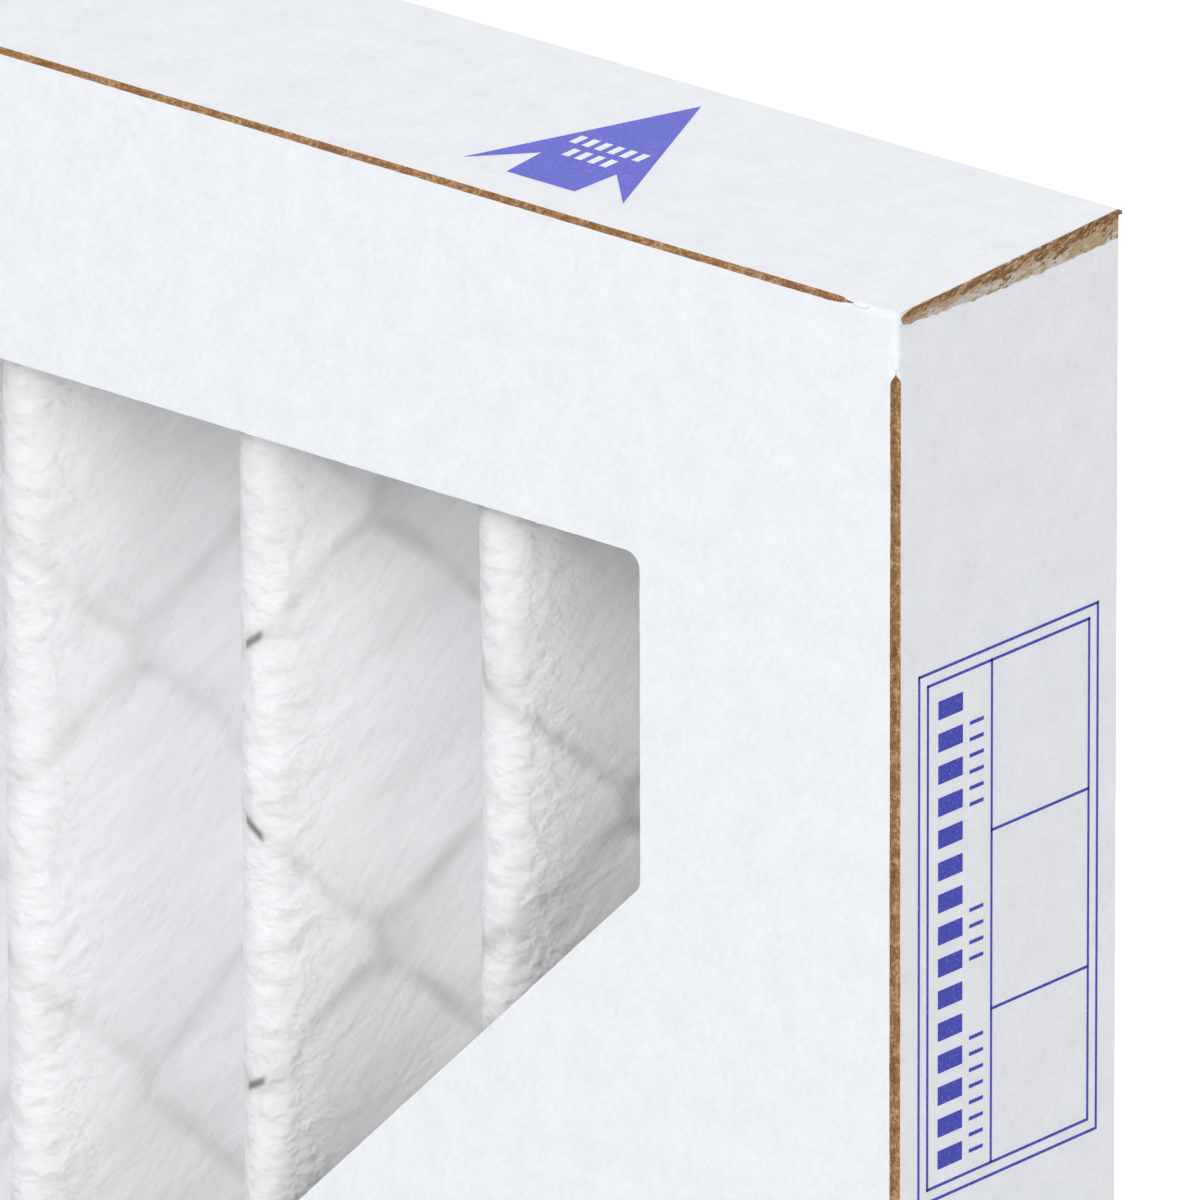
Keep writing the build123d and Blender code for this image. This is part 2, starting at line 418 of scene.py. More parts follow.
def felt_cloth(settings, steel):
    """Felt, with the shade of the steel strands behind it and its long fibres."""
    material, tree, shader = new_material("felt", 1.0, 0.1)
    calc, step = partial(maths, tree), partial(smooth_step, tree)
    vectors = partial(add_node, tree, "ShaderNodeVectorMath")
    uv = uv_place(tree, "unfolded")
    warp = add_node(tree, "ShaderNodeTexNoise", {"Vector": uv, "Scale": 90.0, "Detail": 1.0})
    shift = vectors({0: warp.outputs["Color"], 1: (0.5, 0.5, 0.5)}, operation="SUBTRACT")
    shift = vectors({0: shift, "Scale": 2.2 * MM}, operation="SCALE")
    warped = vectors({0: uv, 1: shift}, operation="ADD")
    nearest, to_bond = steel_distances(tree, warped, steel)

    # Painted shade: strands and knuckles are painted darker where the steel behind shades the felt,
    # most of all near the side borders, where the frame shades it too
    faint = step(noise_value(tree, uv, 190.0), 0.30, 0.66, 0.18, 1.0)
    line = calc("MULTIPLY", step(nearest, 0.85 * MM, 0.0), faint)
    mask = calc("MAXIMUM", line, calc("MULTIPLY", step(to_bond, 1.1 * MM, 0.0), 0.9))
    place = parts_of(tree, object_place(tree))
    # Painted shade of the frame: the strand shade grows towards the side borders
    painted_frame_shade = step(calc("ABSOLUTE", place["X"]), HALF_WIDTH - 66 * MM, HALF_WIDTH - 22 * MM,
                0.50, 1.20)
    mask = calc("MULTIPLY", mask, painted_frame_shade)

    # Only every second ridge is pressed hard enough to rub through
    depth = place["Y"]
    pressed = calc("MULTIPLY", step(depth, FRONT + 1.02 * MM, FRONT + 0.80 * MM),
                   step(nearest, 0.42 * MM, 0.04 * MM))
    from_rubbed = calc("PINGPONG", calc("SUBTRACT", place["X"], KEY_RIDGE), PLEAT_PITCH)
    pressed = calc("MULTIPLY", calc("POWER", pressed, 1.6),
                   step(from_rubbed, 0.55 * PLEAT_PITCH, 0.45 * PLEAT_PITCH))

    long_fibres = noise_value(tree, stretched(tree, uv, (1.0, 7.0, 1.0), (0.0, 0.0, -1.05)),
                              900.0, roughness=0.6, distortion=0.4)
    cross_fibres = noise_value(tree, stretched(tree, uv, (1.0, 9.0, 1.0), (0.0, 0.0, -0.55)),
                               1700.0, detail=1.0, roughness=0.6)
    clouds = noise_value(tree, stretched(tree, uv, (1.0, 5.0, 1.0), (0.0, 0.0, -0.95)), 330.0)
    height = weighted(tree, (long_fibres, 0.6), (cross_fibres, 0.4))
    tone = weighted(tree, (height, 0.5), (clouds, 0.5))
    colours = blend_colours(tree, step(tone, 0.36, 0.66), shaded(settings.felt, 0.95),
                            shaded(settings.felt, 1.03))
    # Painted shadow of the steel strands and knuckles behind the felt
    colours = blend_colours(tree, calc("MULTIPLY", mask, 0.42), colours, rgba(settings.strand))
    colours = blend_colours(tree, calc("MULTIPLY", pressed, 0.85), colours, rgba(settings.rub))

    # The felt is coarser on the ridges
    crest = step(depth, FRONT + 6.0 * MM, FRONT + 0.9 * MM)
    tufts = calc("MULTIPLY", calc("SUBTRACT", noise_value(tree, uv, 950.0), 0.5),
                 calc("MULTIPLY_ADD", crest, 3.2, 0.5))
    dress(tree, shader, colours, calc("ADD", height, tufts), 0.6, 0.4 * MM)
    shader.subsurface_method = "BURLEY"
    shader.inputs["Subsurface Weight"].default_value = 0.6
    shader.inputs["Subsurface Radius"].default_value = (1.0, 1.0, 1.0)
    shader.inputs["Subsurface Scale"].default_value = 3 * MM
    return material


def loose_fibre(settings):
    """Fine white fibres that stand off the felt."""
    material, tree, shader = new_material("loose fibre", 0.9, 0.2)
    tones = noise_value(tree, object_place(tree), 600.0)
    dress(tree, shader, blend_colours(tree, tones, shaded(settings.felt, 0.96),
                                      shaded(settings.felt, 1.06)))
    return material


def zinc_steel(settings):
    """Galvanised steel of the mesh."""
    material, tree, shader = new_material("galvanised steel", 0.42, 0.5, metallic=0.85)
    spangle = noise_value(tree, object_place(tree), 700.0, detail=3.0)
    colours = blend_colours(tree, smooth_step(tree, spangle, 0.35, 0.65),
                            shaded(settings.zinc, 0.8), shaded(settings.zinc, 1.15))
    dress(tree, shader, colours, spangle, 0.2, 0.05 * MM)
    tree.links.new(smooth_step(tree, spangle, 0.3, 0.7, 0.34, 0.52), shader.inputs["Roughness"])
    return material


def hot_glue():
    """Off-white hot-melt glue."""
    material, tree, shader = new_material("hot glue", 0.3, 0.5)
    waves = noise_value(tree, object_place(tree), 220.0, detail=3.0)
    colours = blend_colours(tree, waves, (0.72, 0.68, 0.55, 1.0), (0.84, 0.82, 0.72, 1.0))
    dress(tree, shader, colours, waves, 0.4, 0.4 * MM)
    return material


def printing_ink(name, ink):
    """Printing ink: an even film with a fine pale mottle where the board shows through."""
    material, tree, shader = new_material(name, 0.5, 0.35)
    place = object_place(tree)
    specks = noise_value(tree, place, 5200.0, detail=3.0, roughness=0.65)
    cloud = noise_value(tree, place, 700.0)
    thin = maths(tree, "MULTIPLY", smooth_step(tree, specks, 0.54, 0.74), 0.25)
    colours = blend_colours(tree, cloud, shaded(ink, 0.86), shaded(ink, 1.14))
    dress(tree, shader, blend_colours(tree, thin, colours, (0.62, 0.66, 0.86, 1.0)))
    return material


# ---------------------------------------------------------------- mesh helpers

def finish_piece(piece, slot, *replaced):
    """Ride on the only body and stand for CAD nodes, which are hidden; the slot is not used."""
    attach(piece, "root")
    if replaced:
        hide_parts(*replaced)


def link_mesh(name, mesh, *materials):
    """Object for a mesh, with its materials."""
    for material in materials:
        mesh.materials.append(material)
    piece = bpy.data.objects.new(name, mesh)
    bpy.context.scene.collection.objects.link(piece)
    return piece


def mesh_from(name, points, faces, material_of_face=None):
    """Mesh from points and faces."""
    mesh = bpy.data.meshes.new(name)
    mesh.from_pydata([tuple(point) for point in points], [], faces)
    if material_of_face is not None:
        mesh.polygons.foreach_set("material_index", material_of_face)
    mesh.validate()
    return mesh


def clean_solid(mesh, merge=0.0, close=False):
    """Turn every closed shell outwards, where asked after merging doubles or closing its ends."""
    work = bmesh.new()
    work.from_mesh(mesh)
    if close:
        bmesh.ops.holes_fill(work, edges=[edge for edge in work.edges if edge.is_boundary])
    if merge:
        bmesh.ops.remove_doubles(work, verts=work.verts, dist=merge)
        bmesh.ops.dissolve_degenerate(work, edges=work.edges, dist=merge)
    bmesh.ops.recalc_face_normals(work, faces=work.faces)
    work.to_mesh(mesh)
    work.free()


def grid_faces(rows, columns, start=0):
    """Faces between the points of a grid that is stored row by row."""
    corners = [start + row * columns + number
               for row in range(rows - 1) for number in range(columns - 1)]
    return [(corner, corner + 1, corner + columns + 1, corner + columns) for corner in corners]


def tube_faces(rings, sides):
    """Faces between the points of neighbouring rings, without the ends."""
    return [(ring * sides + side, ring * sides + (side + 1) % sides,
             (ring + 1) * sides + (side + 1) % sides, (ring + 1) * sides + side)
            for ring in range(rings - 1) for side in range(sides)]


def soft_edges(mesh, angle=math.radians(32)):
    """Smooth shading, with sharp edges past an angle."""
    mesh.shade_smooth()
    mesh.set_sharp_from_angle(angle=angle)


def wander(place, seed, scale):
    """Smooth random number from -1 to 1 along a line, in metres."""
    return noise.noise(Vector((place / scale, seed * 7.31, seed * 1.7)))


def top_surface(depth, inset):
    """Height at a depth of the sprung top flaps' surface, inset below the panel's outside."""
    return TOP - inset + LIFT * (depth - FRONT) / (BACK - FRONT)


# ---------------------------------------------------------------- board trays

COATED, CUT, BACKED = 0, 1, 2       # material numbers of a tray


def rounded_outline(corners, radius, step, ragged, seed):
    """Points of a polygon with rounded corners and slightly ragged sides, in short steps."""
    arc_steps = 6
    arcs = []
    for number, corner in enumerate(corners):
        before = (corners[number - 1] - corner).normalized()
        after = (corners[(number + 1) % len(corners)] - corner).normalized()
        half_angle = before.angle(after) / 2
        cut = radius / math.tan(half_angle)
        centre = corner + (before + after).normalized() * (radius / math.sin(half_angle))
        start, end = corner + before * cut, corner + after * cut
        first = math.atan2(start.y - centre.y, start.x - centre.x)
        last = math.atan2(end.y - centre.y, end.x - centre.x)
        turn = (last - first + math.pi) % (2 * math.pi) - math.pi
        angles = [first + turn * k / arc_steps for k in range(arc_steps + 1)]
        arcs.append([centre + radius * Vector((math.cos(angle), math.sin(angle)))
                     for angle in angles])
    outline = []
    for number, arc in enumerate(arcs):
        outline.extend(arc)
        start, end = arc[-1], arcs[(number + 1) % len(arcs)][0]
        run = end - start
        side = Vector((-run.y, run.x)).normalized()
        steps = max(2, round(run.length / step))
        for k in range(1, steps):
            shift = wander(run.length * k / steps, seed + number, 0.9 * MM)
            outline.append(start + run * (k / steps) + side * shift * ragged)
    return outline


def window_outlines(settings):
    """The four windows between the border and the crossed struts, as (x, z) corners."""
    half = HALF_WIDTH - settings.border
    middle = TOP / 2
    tall = middle - settings.border
    offset = settings.strut / math.sqrt(2)
    upper = [Vector((-half, tall)), Vector((half, tall)), Vector((half, half + offset)),
             Vector((0, offset)), Vector((-half, half + offset))]
    right = [Vector((offset, 0)), Vector((half, half - offset)), Vector((half, offset - half))]
    outlines = [upper, [Vector((point.x, -point.y)) for point in upper],
                right, [Vector((-point.x, point.y)) for point in right]]
    return [[point + Vector((0, middle)) for point in outline] for outline in outlines]


def face_plate(settings, inset, face_at, inward, margin):
    """Flat face of a tray with its windows: points, faces and material numbers."""
    bottom = inset + margin
    top = top_surface(face_at, inset) - margin
    side = HALF_WIDTH - inset - margin
    border = [Vector((-side, bottom)), Vector((side, bottom)), Vector((side, top)),
              Vector((-side, top))]
    outlines = [border]
    for number, corners in enumerate(window_outlines(settings)):
        outlines.append(rounded_outline(corners, settings.window_radius, 0.8 * MM,
                                        settings.raggedness, 11 * number + inset * 1e4))
    curve = bpy.data.curves.new("plate", "CURVE")
    curve.dimensions = "2D"
    curve.fill_mode = "BOTH"
    curve.extrude = BOARD / 2
    for outline in outlines:
        spline = curve.splines.new("POLY")
        spline.points.add(len(outline) - 1)
        spline.points.foreach_set("co", [value for point in outline
                                         for value in (point.x, point.y, 0.0, 1.0)])
        spline.use_cyclic_u = True
    holder = bpy.data.objects.new("plate", curve)
    bpy.context.scene.collection.objects.link(holder)
    mesh = bpy.data.meshes.new_from_object(holder.evaluated_get(
        bpy.context.evaluated_depsgraph_get()))
    middle = face_at + inward * BOARD / 2
    points = [(v.co.x, middle + v.co.z, v.co.y) for v in mesh.vertices]
    faces = [tuple(polygon.vertices) for polygon in mesh.polygons]
    numbers = []
    for face in faces:
        depths = [points[k][1] for k in face]
        if max(depths) - min(depths) > BOARD / 2:
            numbers.append(CUT)
        else:
            numbers.append(COATED if abs(depths[0] - face_at) < BOARD / 2 else BACKED)
    bpy.data.objects.remove(holder)
    bpy.data.curves.remove(curve)
    bpy.data.meshes.remove(mesh)
    return points, faces, numbers


def fold_stations(low, high, step, settings, score, taper, rounded_end):
    """Stations along a fold: place, score depth there and how far an end rounds back."""
    radius = settings.fold_radius
    resting = radius * (1 - math.sqrt(0.5))     # a score this shallow leaves the fold unbroken
    inner_low, inner_high = (low + radius, high - radius) if rounded_end else (low, high)
    places = set(np.linspace(inner_low, inner_high, max(2, int((inner_high - inner_low) / step))))
    for number in range(FINE_STATIONS + 1):
        reach = settings.score_stop + taper * number / FINE_STATIONS
        places.update((low + reach, high - reach))
    places = [(place, 0.0) for place in sorted(places)]
    if rounded_end:
        turns = [math.radians(angle) for angle in (18, 36, 54, 72, 90)]
        ends = [(radius * math.sin(turn), radius * (1 - math.cos(turn))) for turn in turns]
        places = ([(inner_low - beyond, back) for beyond, back in reversed(ends)] + places
                  + [(inner_high + beyond, back) for beyond, back in ends])
    stations = []
    for place, back in places:
        from_end = min(place - low, high - place) - settings.score_stop
        share = min(1.0, max(0.0, from_end / taper))
        share = share * share * (3 - 2 * share)
        stations.append((place, resting + share * (score - resting), back, share))
    return stations


def fold_strip(settings, stations, rim, margin, seed, place_point, end_material):
    """One fold with its flap, as a closed strip: points, faces and material numbers."""
    radius = settings.fold_radius
    columns = 14
    scored = (3, 4)                 # these show the board's core where the score is open
    materials = [COATED, COATED, COATED, CUT, CUT, COATED, COATED, COATED, COATED, CUT,
                 BACKED, BACKED, BACKED, CUT]
    arc = math.radians(20)
    arc_along, arc_down = radius * (1 - math.sin(arc)), radius * (1 - math.cos(arc))
    burr = 0.004 * MM

    def ragged_cut(place, score, share, number, long_wave):
        return score + settings.raggedness * share * (
            wander(place, number, 0.5 * MM) + wander(place, number, long_wave))

    def lip(cut):
        return radius - math.sqrt(max(0.0, radius ** 2 - (radius - cut) ** 2))

    points = []
    for place, score, back, share in stations:
        on_face = ragged_cut(place, score, share, seed, 7 * MM)
        on_flap = ragged_cut(place, score, share, seed + 1, 9 * MM)
        if share > 0.5:
            opening = [(on_face + burr, 0.0), (on_face, 0.0), (on_face, on_flap),
                       (0.0, on_flap), (0.0, on_flap + burr)]
        else:
            opening = [(max(on_face, arc_along), arc_down), (on_face, lip(on_face)),
                       (on_face, on_flap), (lip(on_flap), on_flap),
                       (arc_down, max(on_flap, arc_along))]
        section = [(margin, 0.0), (radius, 0.0), *opening, (0.0, radius), (0.0, margin),
                   (0.0, rim), (BOARD, rim), (BOARD, BOARD), (margin, BOARD),
                   (margin, BOARD / 2)]
        points += [place_point(place, inset, max(depth, back)) for inset, depth in section]
    numbers = [COATED if column in scored and share <= 0.02 else materials[column]
               for *_, share in stations[:-1] for column in range(columns)]
    last = (len(stations) - 1) * columns
    ends = [tuple(range(columns)), tuple(last + column for column in reversed(range(columns)))]
    return (points, tube_faces(len(stations), columns) + ends,
            numbers + [end_material, end_material])


def board_tray(name, settings, inset, face_at, rim_at, step, seed):
    """A folded tray as one mesh: its face, and four folds with their flaps."""
    inward = 1 if rim_at > face_at else -1
    half = HALF_WIDTH - inset
    margin = BOARD + 0.1 * MM
    rim = abs(rim_at - face_at)
    top_at_face = top_surface(face_at, inset)
    side_top = min(top_at_face, top_surface(rim_at, inset)) - margin

    def top(place, into, depth):
        y = face_at + inward * depth
        return place, y, top_surface(y, inset) - into

    def bottom(place, into, depth):
        return place, face_at + inward * depth, inset + into

    def right(place, into, depth):
        return half - into, face_at + inward * depth, place

    def left(place, into, depth):
        return into - half, face_at + inward * depth, place

    closed = fold_stations(-half, half, step, settings, settings.score * settings.score_closed,
                           settings.score_taper, rounded_end=True)
    across = fold_stations(-half, half, step, settings, settings.score, settings.score_taper,
                           rounded_end=True)
    upright = fold_stations(inset + margin, side_top, step, settings, settings.score,
                            settings.score_taper / 3, rounded_end=False)
    shells = [face_plate(settings, inset, face_at, inward, margin)]
    for number, (stations, place_point) in enumerate((
            (closed, top), (across, bottom), (upright, right), (upright, left))):
        shells.append(fold_strip(settings, stations, rim, margin, seed + 10 * number,
                                 place_point, CUT if place_point is bottom else COATED))
    work = bmesh.new()
    for points, faces, numbers in shells:
        shell = mesh_from("shell", points, faces, numbers)
        clean_solid(shell, merge=1e-7)
        soft_edges(shell)
        work.from_mesh(shell)
        bpy.data.meshes.remove(shell)
    mesh = bpy.data.meshes.new(name)
    work.to_mesh(mesh)
    work.free()
    return mesh


class FILTER_OT_trays(bpy.types.Operator):
    """Make the outer and the inner board tray"""
    bl_idname = "filter.trays"
    bl_label = "Board trays"

    def execute(self, context):
        settings = context.scene.air_filter.board
        finishes = (coated_board(settings), cut_board(settings), kraft_back(settings))
        for name, node, inset, face_at, rim_at, step, seed in (
                ("outer_board", "outer_tray", 0.0, FRONT, BACK, 0.5 * MM, 3),
                ("inner_board", "inner_tray", NEST, BACK, INNER_RIM, 1.5 * MM, 57)):
            tray = board_tray(name, settings, inset, face_at, rim_at, step, seed)
            finish_piece(link_mesh(name, tray, *finishes), "board", node)
        return {"FINISHED"}


def torn_end(side, seed):
    """Ragged end of the sprung top flap, with the torn board in the wedge under it."""
    columns, rows = 150, 22         # steps from front to back, and from the bottom up
    front, back = FRONT + 0.42 * MM, BACK
    frayed = 1.6 * MM               # length at the back over which the layers part
    upper_layer = 0.42              # of the board's thickness; it stands out past the others
    face_x = side * HALF_WIDTH
    points, spread = [], []

    def opened(from_tip, reach):
        return min(1.0, max(0.12, math.sqrt(from_tip / reach)))

    for row in range(rows + 1):
        for number in range(columns + 1):
            share = number / columns
            y = front + (back - front) * number / columns
            from_tip = y - front
            low = TOP - BOARD - (0.1 + 0.22 * math.sin(math.pi * share)) * MM
            high = top_surface(y, 0.0) - 0.03 * MM
            centre = (low + high) / 2
            low = centre + (low - centre) * opened(from_tip, 0.3 * MM)
            high = centre + (high - centre) * opened(from_tip, 0.9 * MM)
            z = low + (high - low) * (row / rows)
            if row == rows:
                z -= 0.05 * MM * abs(wander(y, seed, 0.5 * MM))
            elif row == 0:
                z += 0.13 * MM * wander(y, seed + 2, 0.45 * MM)
            above = (high - z) / BOARD
            rough = noise.fractal(Vector((y, z, seed * MM)) / (0.22 * MM), 1.0, 2.1, 4)
            step = (0.03 if above < upper_layer else (-0.01 if above < 1.0 else -0.06)) * MM
            rear = min(1.0, max(0.0, (y - (back - frayed)) / frayed))
            step += rear * (0.16 if above < upper_layer else -0.12) * MM
            out = max(0.01 * MM, step + rough * 0.08 * MM + 0.07 * MM)
            points.append((face_x + side * out, y, z))
            spread.append((from_tip / MM, (z - (TOP - BOARD)) / (high - (TOP - BOARD) + 1e-9)))
    width = columns + 1
    faces = grid_faces(rows + 1, width)
    rim = [*range(width), *(row * width + columns for row in range(1, rows + 1)),
           *(rows * width + number for number in reversed(range(columns))),
           *(row * width for row in reversed(range(1, rows)))]
    first = len(points)
    for number, corner in enumerate(rim):
        following = (number + 1) % len(rim)
        points.append((face_x - side * 0.5 * MM, *points[corner][1:]))
        faces.append((corner, first + number, first + following, rim[following]))
    faces.append(tuple(range(first, first + len(rim))))
    spread += [spread[corner] for corner in rim]
    mesh = mesh_from("torn", points, faces)
    layer = mesh.uv_layers.new(name="spread")
    for loop in mesh.loops:
        layer.data[loop.index].uv = spread[loop.vertex_index]
    clean_solid(mesh)
    soft_edges(mesh, math.radians(50))
    return mesh


def coating_curl(start, run, out, reach, height, seed):
    """A strip of coating that has lifted and rolled over at the end of a score."""
    steps, thick, full_turn = 14, 0.05 * MM, 4.3
    side = run.cross(out)
    points = []
    for number in range(steps + 1):
        share = number / steps
        turn = full_turn * share
        centre = start + run * (reach * (share - 0.35 * math.sin(turn))) \
            + out * (height * (1 - math.cos(turn)) / 2)
        half = (0.20 + 0.07 * math.sin(9 * share + seed)) * (1 - 0.55 * share) * MM
        outward = (out * math.cos(turn * 0.7) - run * math.sin(turn * 0.7)) * thick / 2
        points += [centre - side * half - outward, centre + side * half - outward,
                   centre + side * half + outward, centre - side * half + outward]
    faces = tube_faces(steps + 1, 4) + [(3, 2, 1, 0), tuple(range(4 * steps, 4 * steps + 4))]
    mesh = mesh_from("curl", points, faces)
    clean_solid(mesh, merge=1e-8)
    soft_edges(mesh)
    return mesh


class FILTER_OT_curls(bpy.types.Operator):
    """Make the lifted coating at the ends of the scores by the upper corners"""
    bl_idname = "filter.curls"
    bl_label = "Coating curls"

    def execute(self, context):
        settings = context.scene.air_filter.board
        parts = []
        sunk = 0.12 * MM            # start of a curl, in from the board's outside
        forward, up = Vector((0.0, -1.0, 0.0)), Vector((0.0, 0.0, 1.0))
        for side in (-1, 1):
            right = Vector((side, 0.0, 0.0))
            on_top = Vector((side * (HALF_WIDTH - 3.1 * MM), FRONT + sunk, TOP - sunk))
            on_side = Vector((side * (HALF_WIDTH - sunk), FRONT + sunk, TOP - 3.3 * MM))
            for start, run, other, reach, height, seed in (
                    (on_top, right, up, 0.75 * MM, 0.12 * MM, 1.0),
                    (on_side, up, right, 0.6 * MM, 0.14 * MM, 2.0)):
                curl = coating_curl(start, run, (forward + other).normalized(), reach, height,
                                    seed)
                parts.append((curl, Matrix.Identity(4), 0))
        finish_piece(joined("coating_curls", parts, coated_board(settings)), "board")
        return {"FINISHED"}


class FILTER_OT_torn_ends(bpy.types.Operator):
    """Make the torn board at both ends of the sprung top flap"""
    bl_idname = "filter.torn_ends"
    bl_label = "Torn flap ends"

    def execute(self, context):
        finish = torn_board(context.scene.air_filter.board)
        for name, side, seed in (("torn_end_right", 1, 5), ("torn_end_left", -1, 9)):
            finish_piece(link_mesh(name, torn_end(side, seed), finish), "board")
        return {"FINISHED"}


# ---------------------------------------------------------------- felt and steel

def fold_centres():
    """Centres of the fold arcs across the width, as (x, y, side), with side -1 for a ridge."""
    pack_front = FRONT + BOARD + 0.05 * MM
    pack_back = BACK - BOARD - 0.05 * MM
    ridge_y = pack_front + FELT / 2 + FOLD_RADIUS
    valley_y = pack_back - STEEL - FELT / 2 - FOLD_RADIUS
    end_x = FELT_HIGH.x - FELT / 2 - FOLD_RADIUS
    span = 2 * (HALF_WIDTH - FIRST_RIDGE)
    gaps = round(span / PLEAT_PITCH)
    pitch = span / gaps
    centres = [(-end_x, valley_y, 1)]
    for number in range(gaps + 1):
        x = -span / 2 + number * pitch
        centres.append((x, ridge_y, -1))
        if number < gaps:
            centres.append((x + pitch / 2, valley_y, 1))
    centres.append((end_x, valley_y, 1))
    return centres


def pleated_line(arc_steps, flank_steps):
    """The felt's middle line: points, normals towards the front, lengths so far, and whether each
    point is on a ridge, a valley, a flank or a tail."""
    centres = fold_centres()
    leans = []                      # of the flanks, from the filter's depth
    for (x0, y0, _), (x1, y1, _) in zip(centres, centres[1:]):
        across, deep = abs(x1 - x0), abs(y1 - y0)
        leans.append(math.atan2(across, deep)
                     - math.asin(2 * FOLD_RADIUS / math.hypot(across, deep)))
    tail_x, tail_y = centres[0][0] - FOLD_RADIUS, centres[0][1] - TAIL
    places = [(tail_x, tail_y + TAIL * k / flank_steps) for k in range(flank_steps)]
    normals = [(1.0, 0.0)] * flank_steps
    kinds = ["tail"] * flank_steps
    for number, (x, y, side) in enumerate(centres):
        before = leans[number - 1] if number else 0.0
        after = leans[number] if number < len(leans) else 0.0
        first, last = before - math.pi / 2, math.pi / 2 - after
        for k in range(arc_steps + 1):
            angle = first + (last - first) * k / arc_steps
            across, deep = math.sin(angle), side * math.cos(angle)
            places.append((x + FOLD_RADIUS * across, y + FOLD_RADIUS * deep))
            normals.append((-side * across, -side * deep))
            kinds.append("valley" if side > 0 else "ridge")
        if number < len(leans):
            next_x, next_y, next_side = centres[number + 1]
            angle = after - math.pi / 2
            start = places[-1]
            end = (next_x + FOLD_RADIUS * math.sin(angle),
                   next_y + next_side * FOLD_RADIUS * math.cos(angle))
            for k in range(1, flank_steps):
                share = k / flank_steps
                places.append(tuple(a + (b - a) * share for a, b in zip(start, end)))
                normals.append(normals[-1])
                kinds.append("flank")
    for k in range(1, flank_steps + 1):
        places.append((-tail_x, centres[-1][1] - TAIL * k / flank_steps))
        normals.append((-1.0, 0.0))
        kinds.append("tail")
    places = np.array(places)
    gone = np.concatenate([[0.0], np.cumsum(np.linalg.norm(np.diff(places, axis=0), axis=1))])
    return places, np.array(normals), gone, kinds


def unfolded_zero(steel):
    """Length along the felt at which a column of knuckles stands, and the height of one knuckle
    in that column."""
    places, _, gone, kinds = pleated_line(8, 4)
    nearest = min((number for number, kind in enumerate(kinds) if kind == "ridge"),
                  key=lambda number: (abs(places[number][0] - KEY_RIDGE), places[number][1]))
    return gone[nearest] + steel.first, TOP - steel.drop


def felt_mesh(settings, steel):
    """Folded felt with swaying ridges and slightly hollow flanks, and its unfolded length. Its UV
    map unfolds it, counted from a knuckle of the steel behind it."""
    places, normals, gone, kinds = pleated_line(5, 3)
    count = len(places)
    heights = np.linspace(FELT_LOW.z, FELT_HIGH.z, 193)
    coarse = range(0, len(heights), 12)         # rows of the hidden back
    front, back = [], []
    for z in heights:
        for number, kind in enumerate(kinds):
            x, y = places[number]
            pleat = round((x + HALF_WIDTH - FIRST_RIDGE) / PLEAT_PITCH)
            sway = sag = 0.0
            if kind != "tail":
                sway = settings.sway * wander(z, pleat * 3.1 + 2, 38 * MM)
                sway += 0.4 * settings.sway * wander(z, pleat * 3.1 + 4, 8 * MM)
            if kind == "flank":
                sag = settings.hollow * (0.35 + 0.65 * wander(z, number * 0.37, 24 * MM))
            base = Vector((x + sway, y, z))
            normal = Vector((*normals[number], 0.0))
            front.append(base + normal * (FELT / 2 - max(0.0, sag)))
            back.append(base - normal * FELT / 2)
    first = len(front)
    points = front + [back[row * count + number] for row in coarse for number in range(count)]
    faces = grid_faces(len(heights), count)
    faces += [(a, d, c, b) for a, b, c, d in grid_faces(len(coarse), count, first)]
    last_row, last_coarse = first - count, len(points) - count
    for number in range(count - 1):
        faces.append((number, first + number, first + number + 1, number + 1))
        faces.append((last_row + number, last_row + number + 1, last_coarse + number + 1,
                      last_coarse + number))
    for end in (0, count - 1):
        faces.append([row * count + end for row in range(len(heights))]
                     + [first + row * count + end for row in reversed(range(len(coarse)))])
    mesh = mesh_from("felt", points, faces)
    zero_s, zero_z = unfolded_zero(steel)
    unfolded = np.column_stack([np.tile(gone, len(heights) + len(coarse)) - zero_s,
                                np.array([point.z for point in points]) - zero_z])
    corners = np.empty(len(mesh.loops), dtype=np.int32)
    mesh.loops.foreach_get("vertex_index", corners)
    layer = mesh.uv_layers.new(name="unfolded")
    layer.data.foreach_set("uv", unfolded[corners].astype(np.float32).ravel())
    clean_solid(mesh)
    soft_edges(mesh, math.radians(60))
    return mesh, gone[-1]


class FILTER_OT_felt(bpy.types.Operator):
    """Make the pleated felt"""
    bl_idname = "filter.felt"
    bl_label = "Pleated felt"

    def execute(self, context):
        settings = context.scene.air_filter
        mesh, unfolded = felt_mesh(settings.felt, settings.steel)
        piece = link_mesh("felt", mesh, felt_cloth(settings.felt, settings.steel))
        finish_piece(piece, "felt", "pleated_media")
        return {"FINISHED"}


